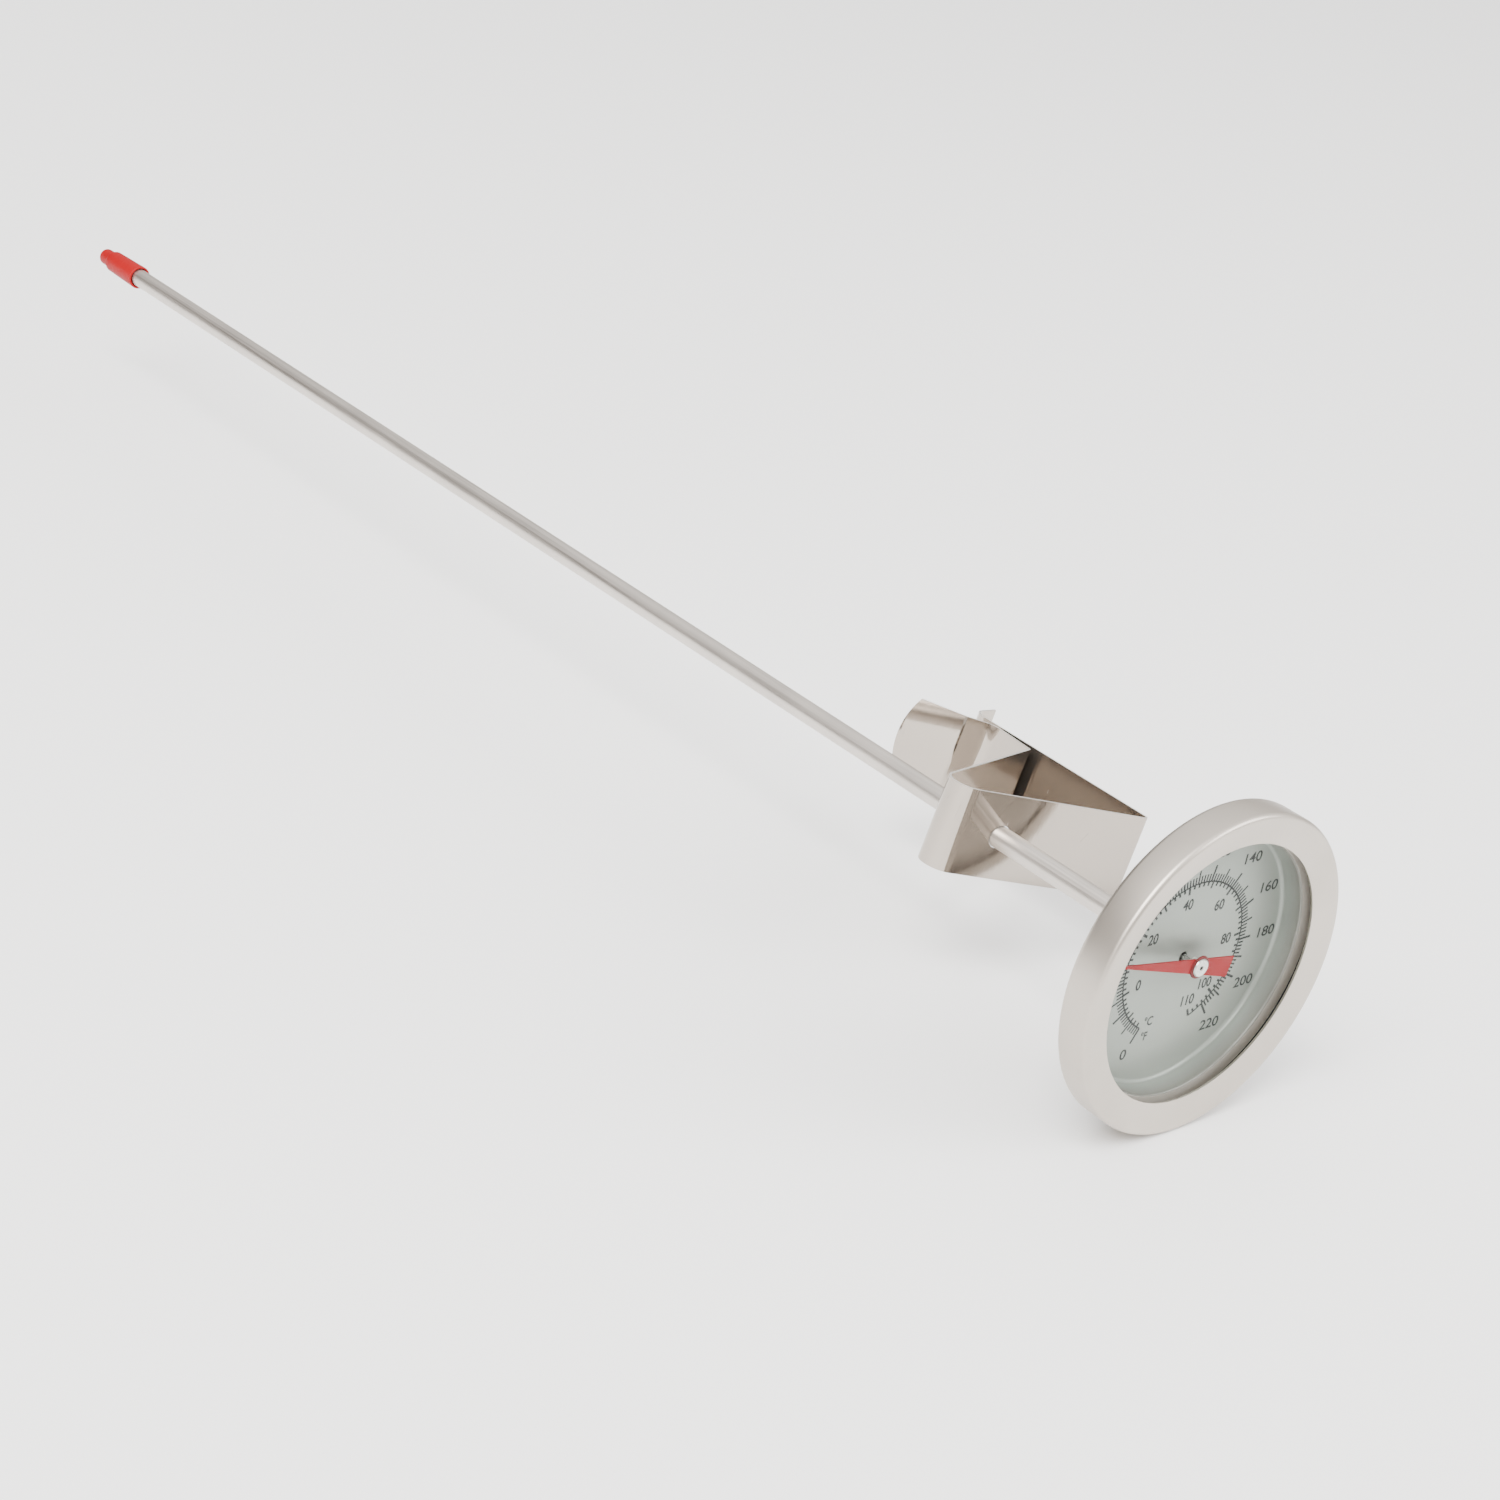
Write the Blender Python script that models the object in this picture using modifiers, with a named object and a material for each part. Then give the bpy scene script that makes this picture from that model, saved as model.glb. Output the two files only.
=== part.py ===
"""Dial thermometer with a long stem, a sliding spring clip for a pot's wall and a red tip cap.

Frame: the origin is the middle of the whole part's box. The stem runs along +Y, the dial faces -Y,
and +Z is the dial's 12 o'clock, so +X is the dial's right-hand side. The pieces are drawn from the
centre of the lens's outer face, and main() then moves them all to the row's origin.
Sizes below are in millimetres; MM turns them into metres.
"""

import math

import bmesh
import bpy
from mathutils import Matrix, Vector

MM = 0.001
GAP = 0.3
MERGE = 0.00001

# From the centre of the lens's outer face to the row's origin
ORIGIN_X = 3.48
ORIGIN_Y = 156.95

# Driving dimensions
HEAD_RADIUS = 25.4
STEM_LENGTH = 304.8
STEM_RADIUS = 1.75
WINDOW_RADIUS = 20.5
SHEET = 0.4

# Head, by distance behind the lens's outer face
BEZEL_FRONT_Y = -1.6
BEZEL_REAR_Y = 4.22
LIP_DISH = 0.9
LENS_THICKNESS = 0.9
LENS_RADIUS = 24.0
POINTER_Y = 1.75
POINTER_THICKNESS = 0.25
DIAL_Y = 4.85
DIAL_THICKNESS = 0.35
DIAL_RADIUS = 20.6
DIAL_FLANGE_Y = 1.2
DIAL_FLANGE_RADIUS = 22.8
DIAL_FLANGE_ROUND = 0.3
FLANGE_Y = 3.1
FLANGE_RADIUS = LENS_RADIUS + 0.3
CASE_RADIUS = 22.0
CASE_BACK_Y = 7.4
CASE_CORNER = 3.6
BEZEL_REAR_CURL = 2.2
BEZEL_REAR_ROUND = 0.95
BEZEL_FRONT_ROUND = 0.75
BEZEL_FRONT_FLAT = 1.1
DIAL_HOLE_RADIUS = 0.8
DIAL_ROUND = 1.0
SEAT_INNER_RADIUS = 15.0
SEAT_OUTER_RADIUS = 18.6

# Dial scale: degrees round the dial, clockwise from 12 o'clock
DEGREES_PER_FAHRENHEIT = 1.338
ZERO_FAHRENHEIT_ANGLE = -151.0
REST_FAHRENHEIT = 55.3
POINTER_ANGLE = ZERO_FAHRENHEIT_ANGLE + DEGREES_PER_FAHRENHEIT * REST_FAHRENHEIT

# Pointer
POINTER_LENGTH = 16.9
POINTER_TAIL = 7.3
POINTER_TIP_WIDTH = 0.4
POINTER_TAIL_WIDTH = 3.3
HUB_RADIUS = 1.55
HUB_FLANGE = 0.25
HUB_ROUND = 0.12
HUB_REACH = 1.4
SPINDLE_RADIUS = 0.5
SPINDLE_SIDES = 16
SPINDLE_START_Y = POINTER_Y + 0.1

# Stem
STEM_START_Y = CASE_BACK_Y - 1.4
STEM_TIP_Y = STEM_START_Y + STEM_LENGTH
TUBE_WALL = 0.3
BORE_RADIUS = STEM_RADIUS - TUBE_WALL
FIT_RADIUS = BORE_RADIUS - GAP
FERRULE_RADIUS = 3.2
FERRULE_END_Y = CASE_BACK_Y + 4.0
FERRULE_COLLAR = 1.2
FERRULE_ROUND = 0.6
FERRULE_SIDES = 32
PLUG_LENGTH = 5.0
PLUG_HEAD = 0.5
PLUG_ROUND = 0.3
GUIDE_LENGTH = 4.0
UPPER_BEARING_Y = STEM_START_Y + 2.0

# Bimetal element
HELIX_TURNS = 16
HELIX_PITCH = 3.0
HELIX_RADIUS = 1.0
HELIX_STRIP_WIDTH = 2.2
HELIX_STRIP_THICKNESS = 0.2
HELIX_END_Y = STEM_TIP_Y - 10.0
HELIX_START_Y = HELIX_END_Y - HELIX_TURNS * HELIX_PITCH
HELIX_STEPS_PER_TURN = 12
LOWER_GUIDE_Y = HELIX_START_Y - 16.0
COLLAR_SOCKET_Y = HELIX_START_Y - 1.5
COLLAR_SOCKET_DEPTH = 3.5

# Tip cap
CAP_FIT = 0.18
CAP_MOUTH_Y = STEM_TIP_Y - 9.8
CAP_MOUTH_RADIUS = 2.35
CAP_WAIST_RADIUS = 2.16
CAP_NOSE_RADIUS = 1.65
CAP_END_Y = STEM_TIP_Y + 4.7
CAP_STEP_START_Y = STEM_TIP_Y + 0.6
CAP_STEP_END_Y = STEM_TIP_Y + 1.5
CAP_MOUTH_ROUND = 0.12
CAP_SHOULDER_ROUND = 0.4
CAP_STEP_ROUND = 0.5
CAP_NOSE_ROUND = 0.9

# Spring clip, in its own plane: distance along the stem, then distance out from the stem's axis
CLIP_TURN = 12.7
CLIP_WIDTH = 13.6
CLIP_SHEET = 0.35
CLIP_HOLE_RADIUS = 2.15
CLIP_TAB_END_RADIUS = 13.7
CLIP_TAB_STEPS = 7
CLIP_TAB_LAST_STEP = 7.2
CLIP_BEND_STEPS = 6
HOLE_CUTTER_Y = 48
HOLE_CUTTER_LENGTH = 30

# Facets
BIG_SIDES = 72
MEDIUM_SIDES = 48
SMALL_SIDES = 24


# ---------------------------------------------------------------- scene and materials

def clear_scene():
    for thing in list(bpy.data.objects):
        bpy.data.objects.remove(thing, do_unlink=True)


def make_collection(name):
    group = bpy.data.collections.new(name)
    bpy.context.scene.collection.children.link(group)
    return group


def material(name, colour, roughness, metallic, transmission=0.0):
    made = bpy.data.materials.new(name)
    made.use_nodes = True
    shader = made.node_tree.nodes["Principled BSDF"]
    shader.inputs["Base Color"].default_value = (*colour, 1.0)
    shader.inputs["Roughness"].default_value = roughness
    shader.inputs["Metallic"].default_value = metallic
    shader.inputs["Transmission Weight"].default_value = transmission
    return made


# ---------------------------------------------------------------- outlines

def rounded(corners, steps=3):
    """Points of an open outline whose corners (x, y, radius) are rounded where the radius isn't 0."""
    points = []
    for index, (x, y, radius) in enumerate(corners):
        here = Vector((x, y))
        if radius == 0:
            points.append(here)
            continue
        before = (Vector(corners[index - 1][:2]) - here).normalized()
        after = (Vector(corners[index + 1][:2]) - here).normalized()
        half = before.angle(after) / 2
        centre = here + (before + after).normalized() * (radius / math.sin(half))
        start = here + before * (radius / math.tan(half)) - centre
        sweep = start.angle_signed(here + after * (radius / math.tan(half)) - centre)
        for step in range(steps + 1):
            arm = start.copy()
            arm.rotate(Matrix.Rotation(-sweep * step / steps, 2))
            points.append(centre + arm)
    return points


def outline_area(points):
    """Signed area of the closed outline, positive where it runs anticlockwise."""
    total = 0.0
    for here, after in zip(points, points[1:] + points[:1]):
        total += (here[0] * after[1] - after[0] * here[1]) / 2
    return total


# ---------------------------------------------------------------- solids

def add_object(name, mesh, look, group):
    made = bpy.data.objects.new(name, mesh)
    made.data.materials.append(look)
    group.objects.link(made)
    return made


def screw_round(made, sides):
    """Turns an outline in the local XZ plane about local Z, which is then laid along +Y."""
    made.rotation_euler = (-math.pi / 2, 0, 0)
    screw = made.modifiers.new("turn", "SCREW")
    screw.axis = "Z"
    screw.steps = sides
    screw.render_steps = sides
    screw.use_merge_vertices = True
    screw.merge_threshold = MERGE
    return made


def outline_mesh(name, points, closed):
    """A chain of edges through points (radius, distance along the stem)."""
    mesh = bpy.data.meshes.new(name)
    count = len(points)
    edges = [(i, (i + 1) % count) for i in range(count if closed else count - 1)]
    mesh.from_pydata([(r * MM, 0, y * MM) for r, y in points], edges, [])
    return mesh


def turned(name, points, look, group, sides=MEDIUM_SIDES):
    """A turned piece. An outline that starts and ends on the axis is left open there."""
    points = [tuple(point) for point in points]
    on_axis = points[0][0] == 0 and points[-1][0] == 0
    if outline_area(points) > 0:
        points.reverse()
    made = add_object(name, outline_mesh(name, points, not on_axis), look, group)
    screw_round(made, sides)
    return made


def turned_sheet(name, points, thickness, look, group, sides=BIG_SIDES):
    """A spun sheet: points are its outer side from its rear end to its front end."""
    made = add_object(name, outline_mesh(name, points, False), look, group)
    screw_round(made, sides)
    solidify = made.modifiers.new("sheet", "SOLIDIFY")
    solidify.thickness = thickness * MM
    solidify.offset = -1
    solidify.use_even_offset = True
    return made


def ring(name, inner, outer, start, end, look, group, sides=MEDIUM_SIDES):
    corners = [(inner, start), (outer, start), (outer, end), (inner, end)]
    return turned(name, corners, look, group, sides)


def rod(name, radius, start, end, look, group, sides=SMALL_SIDES):
    return turned(name, [(0, start), (radius, start), (radius, end), (0, end)], look, group, sides)


# ---------------------------------------------------------------- head

def make_head(group):
    steel = material("satin_steel", (0.72, 0.70, 0.67), 0.32, 1.0)
    inner_steel = material("case_steel", (0.62, 0.61, 0.59), 0.22, 1.0)
    glass = material("clear_lens", (0.95, 0.97, 0.97), 0.03, 0.0, 0.9)
    rubber = material("black_rubber", (0.03, 0.03, 0.03), 0.7, 0.0)
    dial_paint = material("dial_enamel", (0.74, 0.78, 0.75), 0.4, 0.0)
    fibre = material("grey_fibre", (0.35, 0.35, 0.33), 0.8, 0.0)

    bezel_outline = rounded([
        (HEAD_RADIUS - BEZEL_REAR_CURL, BEZEL_REAR_Y, 0),
        (HEAD_RADIUS, BEZEL_REAR_Y, BEZEL_REAR_ROUND),
        (HEAD_RADIUS, BEZEL_FRONT_Y, BEZEL_FRONT_ROUND),
        (HEAD_RADIUS - BEZEL_FRONT_FLAT, BEZEL_FRONT_Y, 0),
        (WINDOW_RADIUS, BEZEL_FRONT_Y + LIP_DISH, 0),
    ])
    turned_sheet("bezel", bezel_outline, SHEET, steel, group)

    rod("lens", LENS_RADIUS, 0, LENS_THICKNESS, glass, group, BIG_SIDES)

    ring("lens_gasket", DIAL_FLANGE_RADIUS + GAP, FLANGE_RADIUS, LENS_THICKNESS + GAP,
         FLANGE_Y - GAP, rubber, group)

    dial_back = DIAL_Y + DIAL_THICKNESS
    dial_outline = rounded([
        (DIAL_HOLE_RADIUS, dial_back, 0),
        (DIAL_RADIUS, dial_back, DIAL_ROUND),
        (DIAL_RADIUS, DIAL_FLANGE_Y + DIAL_THICKNESS, DIAL_FLANGE_ROUND),
        (DIAL_FLANGE_RADIUS, DIAL_FLANGE_Y + DIAL_THICKNESS, 0),
    ])
    turned_sheet("dial_plate", dial_outline, DIAL_THICKNESS, dial_paint, group)

    ring("dial_seat", SEAT_INNER_RADIUS, SEAT_OUTER_RADIUS, dial_back + GAP,
         CASE_BACK_Y - SHEET - GAP, fibre, group)

    case_outline = rounded([
        (FERRULE_RADIUS + GAP, CASE_BACK_Y, 0),
        (CASE_RADIUS, CASE_BACK_Y, CASE_CORNER),
        (CASE_RADIUS, FLANGE_Y + SHEET, 0),
        (FLANGE_RADIUS, FLANGE_Y + SHEET, 0),
    ])
    turned_sheet("case_back", case_outline, SHEET, inner_steel, group)


# ---------------------------------------------------------------- stem and bimetal element

def make_helix(group, look):
    """The bimetal strip: a ribbon wound into a helix, fixed at its far end."""
    spare = (HELIX_PITCH - HELIX_STRIP_WIDTH) / 2
    mesh = bpy.data.meshes.new("bimetal_helix")
    work = bmesh.new()
    previous = None
    for step in range((HELIX_TURNS - 1) * HELIX_STEPS_PER_TURN + 1):
        angle = 2 * math.pi * step / HELIX_STEPS_PER_TURN
        x = HELIX_RADIUS * math.cos(angle)
        z = HELIX_RADIUS * math.sin(angle)
        y = HELIX_START_Y + spare + HELIX_PITCH * step / HELIX_STEPS_PER_TURN
        low = work.verts.new((x * MM, y * MM, z * MM))
        high = work.verts.new((x * MM, (y + HELIX_STRIP_WIDTH) * MM, z * MM))
        if previous:
            work.faces.new((previous[0], low, high, previous[1]))
        previous = (low, high)
    work.to_mesh(mesh)
    work.free()
    made = add_object("bimetal_helix", mesh, look, group)
    solidify = made.modifiers.new("strip", "SOLIDIFY")
    solidify.thickness = HELIX_STRIP_THICKNESS * MM
    solidify.offset = 0
    return made


def make_stem(group):
    steel = material("stem_steel", (0.70, 0.68, 0.65), 0.3, 1.0)
    brass = material("bush_brass", (0.72, 0.56, 0.27), 0.35, 1.0)
    bimetal = material("bimetal_strip", (0.60, 0.52, 0.42), 0.4, 1.0)

    turned("stem_ferrule", rounded([
        (STEM_RADIUS + GAP, STEM_START_Y, 0),
        (FERRULE_RADIUS, STEM_START_Y, 0),
        (FERRULE_RADIUS, CASE_BACK_Y + GAP, 0),
        (FERRULE_RADIUS + FERRULE_COLLAR, CASE_BACK_Y + GAP, 0),
        (FERRULE_RADIUS + FERRULE_COLLAR, CASE_BACK_Y + FERRULE_COLLAR, FERRULE_ROUND / 2),
        (FERRULE_RADIUS, CASE_BACK_Y + FERRULE_COLLAR, 0),
        (FERRULE_RADIUS, FERRULE_END_Y, FERRULE_ROUND),
        (STEM_RADIUS + GAP, FERRULE_END_Y, 0),
    ]), steel, group, FERRULE_SIDES)

    ring("stem_tube", BORE_RADIUS, STEM_RADIUS, STEM_START_Y, STEM_TIP_Y - PLUG_HEAD - GAP,
         steel, group, SMALL_SIDES)
    turned("stem_plug", rounded([
        (0, STEM_TIP_Y - PLUG_LENGTH, 0),
        (FIT_RADIUS, STEM_TIP_Y - PLUG_LENGTH, 0),
        (FIT_RADIUS, STEM_TIP_Y - PLUG_HEAD, 0),
        (STEM_RADIUS, STEM_TIP_Y - PLUG_HEAD, 0),
        (STEM_RADIUS, STEM_TIP_Y, PLUG_ROUND),
        (0, STEM_TIP_Y, 0),
    ]), steel, group, SMALL_SIDES)

    make_helix(group, bimetal)
    rod("helix_anchor", FIT_RADIUS, HELIX_END_Y + GAP, STEM_TIP_Y - PLUG_LENGTH - GAP, brass, group)

    guide_inner = SPINDLE_RADIUS + GAP
    places = {
        "upper_bearing": UPPER_BEARING_Y,
        "middle_guide": (STEM_START_Y + HELIX_START_Y) / 2,
        "lower_guide": LOWER_GUIDE_Y,
    }
    for name, start in places.items():
        ring(name, guide_inner, FIT_RADIUS, start, start + GUIDE_LENGTH, brass, group, SMALL_SIDES)


# ---------------------------------------------------------------- pointer and spindle

def make_pointer(group):
    red = material("pointer_red", (0.80, 0.10, 0.10), 0.4, 0.0)
    silver = material("hub_metal", (0.80, 0.80, 0.78), 0.25, 1.0)
    steel = material("spindle_steel", (0.60, 0.60, 0.60), 0.3, 1.0)
    brass = material("collar_brass", (0.70, 0.54, 0.26), 0.35, 1.0)

    half_tip = POINTER_TIP_WIDTH / 2
    half_tail = POINTER_TAIL_WIDTH / 2
    outline = bpy.data.curves.new("pointer", "CURVE")
    outline.dimensions = "2D"
    outline.fill_mode = "BOTH"
    outline.extrude = POINTER_THICKNESS * MM / 2
    corners = [
        (-half_tip, POINTER_LENGTH),
        (half_tip, POINTER_LENGTH),
        (half_tail, -POINTER_TAIL),
        (-half_tail, -POINTER_TAIL),
    ]
    hole = []
    for step in range(SMALL_SIDES):
        angle = 2 * math.pi * step / SMALL_SIDES
        hole.append(((HUB_RADIUS - GAP) * math.sin(angle), (HUB_RADIUS - GAP) * math.cos(angle)))
    for points in (corners, hole):
        spline = outline.splines.new("POLY")
        spline.points.add(len(points) - 1)
        spline.use_cyclic_u = True
        for point, (x, z) in zip(spline.points, points):
            point.co = (x * MM, z * MM, 0, 1)
    drawn = bpy.data.objects.new("pointer_outline", outline)
    group.objects.link(drawn)
    bpy.context.view_layer.update()
    mesh = bpy.data.meshes.new_from_object(drawn.evaluated_get(bpy.context.evaluated_depsgraph_get()))
    bpy.data.objects.remove(drawn, do_unlink=True)
    work = bmesh.new()
    work.from_mesh(mesh)
    bmesh.ops.remove_doubles(work, verts=work.verts, dist=MERGE)
    bmesh.ops.recalc_face_normals(work, faces=work.faces)
    work.to_mesh(mesh)
    work.free()
    mesh.materials.clear()
    made = add_object("pointer", mesh, red, group)
    made.location = (0, (POINTER_Y + POINTER_THICKNESS / 2) * MM, 0)
    made.rotation_euler = (math.pi / 2, math.radians(POINTER_ANGLE), 0)

    flange_y = POINTER_Y - GAP - HUB_FLANGE
    neck = HUB_RADIUS - 2 * GAP
    turned("pointer_bush", rounded([
        (SPINDLE_RADIUS + GAP, flange_y, 0),
        (HUB_RADIUS, flange_y, HUB_ROUND),
        (HUB_RADIUS, flange_y + HUB_FLANGE, 0),
        (neck, flange_y + HUB_FLANGE, 0),
        (neck, POINTER_Y + HUB_REACH, 0),
        (SPINDLE_RADIUS + GAP, POINTER_Y + HUB_REACH, 0),
    ], 2), silver, group, SMALL_SIDES)

    rod("spindle", SPINDLE_RADIUS, SPINDLE_START_Y, COLLAR_SOCKET_Y - GAP, steel, group,
        SPINDLE_SIDES)
    turned("helix_collar", [
        (0, HELIX_START_Y),
        (FIT_RADIUS, HELIX_START_Y),
        (FIT_RADIUS, COLLAR_SOCKET_Y - COLLAR_SOCKET_DEPTH),
        (SPINDLE_RADIUS + GAP, COLLAR_SOCKET_Y - COLLAR_SOCKET_DEPTH),
        (SPINDLE_RADIUS + GAP, COLLAR_SOCKET_Y),
        (0, COLLAR_SOCKET_Y),
    ], brass, group, SMALL_SIDES)


# ---------------------------------------------------------------- clip and cap

def clip_outline():
    """The folded strip's middle line, from the flange's free end to the grip tab's free end."""
    return rounded([
        (76.9, 31.6, 0),
        (75.6, 25.15, 3.0),
        (36.3, 25.15, 0.7),
        (46.7, -16.0, 3.1),
        (61.1, 23.4, 0.5),
        (70.2, 24.4, 3.0),
        (73.1, 20.6, 1.2),
        (79.4, 16.1, 0),
    ], CLIP_BEND_STEPS)


def make_clip(group, cutters):
    steel = material("spring_steel", (0.66, 0.63, 0.60), 0.12, 1.0)
    line = clip_outline()
    half = CLIP_WIDTH / 2
    stations = [(point, half) for point in line]
    run = (line[-1] - line[-2]).normalized()
    half_sweep = math.asin(half / CLIP_TAB_END_RADIUS)
    for step in range(1, CLIP_TAB_STEPS + 1):
        angle = half_sweep * (1 - step / CLIP_TAB_LAST_STEP)
        reach = CLIP_TAB_END_RADIUS * (math.cos(angle) - math.cos(half_sweep))
        stations.append((line[-1] + run * reach, CLIP_TAB_END_RADIUS * math.sin(angle)))

    mesh = bpy.data.meshes.new("pan_clip")
    work = bmesh.new()
    previous = None
    for (along, out), width in stations:
        near = work.verts.new((out * MM, along * MM, width * MM))
        far = work.verts.new((out * MM, along * MM, -width * MM))
        if previous:
            work.faces.new((previous[0], near, far, previous[1]))
        previous = (near, far)
    work.to_mesh(mesh)
    work.free()
    made = add_object("pan_clip", mesh, steel, group)
    solidify = made.modifiers.new("strip", "SOLIDIFY")
    solidify.thickness = CLIP_SHEET * MM
    solidify.offset = 0
    solidify.use_even_offset = True

    bpy.ops.mesh.primitive_cylinder_add(
        vertices=FERRULE_SIDES, radius=CLIP_HOLE_RADIUS * MM, depth=HOLE_CUTTER_LENGTH * MM)
    cutter = bpy.context.object
    cutter.name = "stem_hole_cutter"
    cutter.location = (0, HOLE_CUTTER_Y * MM, 0)
    cutter.rotation_euler = (math.pi / 2, 0, 0)
    cutter.hide_render = True
    cutter.display_type = "WIRE"
    for owner in list(cutter.users_collection):
        owner.objects.unlink(cutter)
    cutters.objects.link(cutter)
    holes = made.modifiers.new("stem_holes", "BOOLEAN")
    holes.operation = "DIFFERENCE"
    holes.solver = "EXACT"
    holes.object = cutter
    made.rotation_euler = (0, math.radians(CLIP_TURN), 0)
    return made


def make_cap(group):
    silicone = material("cap_red", (0.72, 0.03, 0.04), 0.45, 0.0)
    bore = STEM_RADIUS + CAP_FIT
    turned("tip_cap", rounded([
        (bore, CAP_MOUTH_Y, 0),
        (CAP_MOUTH_RADIUS, CAP_MOUTH_Y, CAP_MOUTH_ROUND),
        (CAP_WAIST_RADIUS, CAP_STEP_START_Y, CAP_SHOULDER_ROUND),
        (CAP_NOSE_RADIUS, CAP_STEP_END_Y, CAP_STEP_ROUND),
        (CAP_NOSE_RADIUS, CAP_END_Y, CAP_NOSE_ROUND),
        (0, CAP_END_Y, 0),
        (0, STEM_TIP_Y + GAP, 0),
        (bore, STEM_TIP_Y + GAP, 0),
    ]), silicone, group, SMALL_SIDES)


def main():
    clear_scene()
    parts = make_collection("dial_thermometer")
    cutters = make_collection("cutters")
    make_head(parts)
    make_stem(parts)
    make_pointer(parts)
    make_clip(parts, cutters)
    make_cap(parts)
    for group in (parts, cutters):
        for made in group.objects:
            made.location -= Vector((ORIGIN_X, ORIGIN_Y, 0)) * MM


main()
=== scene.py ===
"""Looks of the dial thermometer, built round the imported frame.

Lengths below are in millimetres from the centre of the lens's outer face: x to the dial's right, y along the
stem, z to 12 o'clock. BASE is where that point is in the row frame. Names that end in _M or _M2 are in metres
or square metres, lights are placed in metres in the row frame, and texture scales are per metre.
"""

import math

import bmesh
import bpy
from mathutils import Matrix, Vector


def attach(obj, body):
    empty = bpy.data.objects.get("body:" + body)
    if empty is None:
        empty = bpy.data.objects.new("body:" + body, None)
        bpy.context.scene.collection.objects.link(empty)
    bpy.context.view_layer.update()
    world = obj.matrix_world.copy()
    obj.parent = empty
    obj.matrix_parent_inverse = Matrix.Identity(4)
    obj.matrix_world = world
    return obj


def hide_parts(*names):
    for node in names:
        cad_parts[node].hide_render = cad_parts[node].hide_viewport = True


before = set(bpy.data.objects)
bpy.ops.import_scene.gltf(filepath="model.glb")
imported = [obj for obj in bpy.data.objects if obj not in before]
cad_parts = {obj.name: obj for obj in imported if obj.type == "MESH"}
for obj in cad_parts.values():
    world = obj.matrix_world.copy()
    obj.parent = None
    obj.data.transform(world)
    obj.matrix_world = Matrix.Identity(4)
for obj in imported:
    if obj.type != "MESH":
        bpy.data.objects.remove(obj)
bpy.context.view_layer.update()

MM = 0.001
BASE = Vector((-3.48, -156.95, 0)) * MM
ROOT = "thermometer"
TRAIN = "pointer_train"

HEAD_RADIUS = 25.4
WINDOW_RADIUS = 20.5
BEZEL_FRONT = -1.6
BEZEL_REAR = 4.22
LENS_REAR = 0.9
DIAL_Y = 4.85
DIAL_RADIUS = 20.6
CASE_BACK = 7.4
STEM_RADIUS = 1.75
STEM_START = 6.0
STEM_TIP = 310.8
BORE = 1.45
POINTER_Y = 1.75


# ---------------------------------------------------------------- materials

# the span that a noise texture mostly fills
NOISE_LOW = 0.3
NOISE_HIGH = 0.7
GRAIN_DETAIL = 3.0
BLOTCH_DETAIL = 2.0
GRAIN_DEPTH_M = 0.00002

# sockets of a Mix node that mixes colours
MIX_FACTOR = 0
MIX_A = 6
MIX_B = 7
MIX_COLOUR = 2


def principled(name, colour, roughness, metallic=0.0):
    made = bpy.data.materials.new(name)
    made.use_nodes = True
    tree = made.node_tree
    shader = tree.nodes["Principled BSDF"]
    shader.inputs["Base Color"].default_value = (*colour, 1)
    shader.inputs["Roughness"].default_value = roughness
    shader.inputs["Metallic"].default_value = metallic
    return made, tree, shader


def place(tree, stretch, rings):
    """Coordinates for a grain: (distance from the Y axis, y) where rings is set, or else the local axes."""
    coords = tree.nodes.new("ShaderNodeTexCoord")
    if rings:
        split = tree.nodes.new("ShaderNodeSeparateXYZ")
        tree.links.new(coords.outputs["Object"], split.inputs[0])
        flat = tree.nodes.new("ShaderNodeCombineXYZ")
        tree.links.new(split.outputs["X"], flat.inputs["X"])
        tree.links.new(split.outputs["Z"], flat.inputs["Y"])
        length = tree.nodes.new("ShaderNodeVectorMath")
        length.operation = "LENGTH"
        tree.links.new(flat.outputs[0], length.inputs[0])
        joined = tree.nodes.new("ShaderNodeCombineXYZ")
        tree.links.new(length.outputs["Value"], joined.inputs["X"])
        tree.links.new(split.outputs["Y"], joined.inputs["Y"])
        source = joined.outputs[0]
    else:
        source = coords.outputs["Object"]
    mapping = tree.nodes.new("ShaderNodeMapping")
    mapping.inputs["Scale"].default_value = stretch
    tree.links.new(source, mapping.inputs["Vector"])
    return coords, mapping.outputs[0]


def ramp(tree, source, low, high, start=NOISE_LOW, end=NOISE_HIGH):
    made = tree.nodes.new("ShaderNodeMapRange")
    made.inputs["From Min"].default_value = start
    made.inputs["From Max"].default_value = end
    made.inputs["To Min"].default_value = low
    made.inputs["To Max"].default_value = high
    tree.links.new(source, made.inputs["Value"])
    return made.outputs["Result"]


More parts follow.
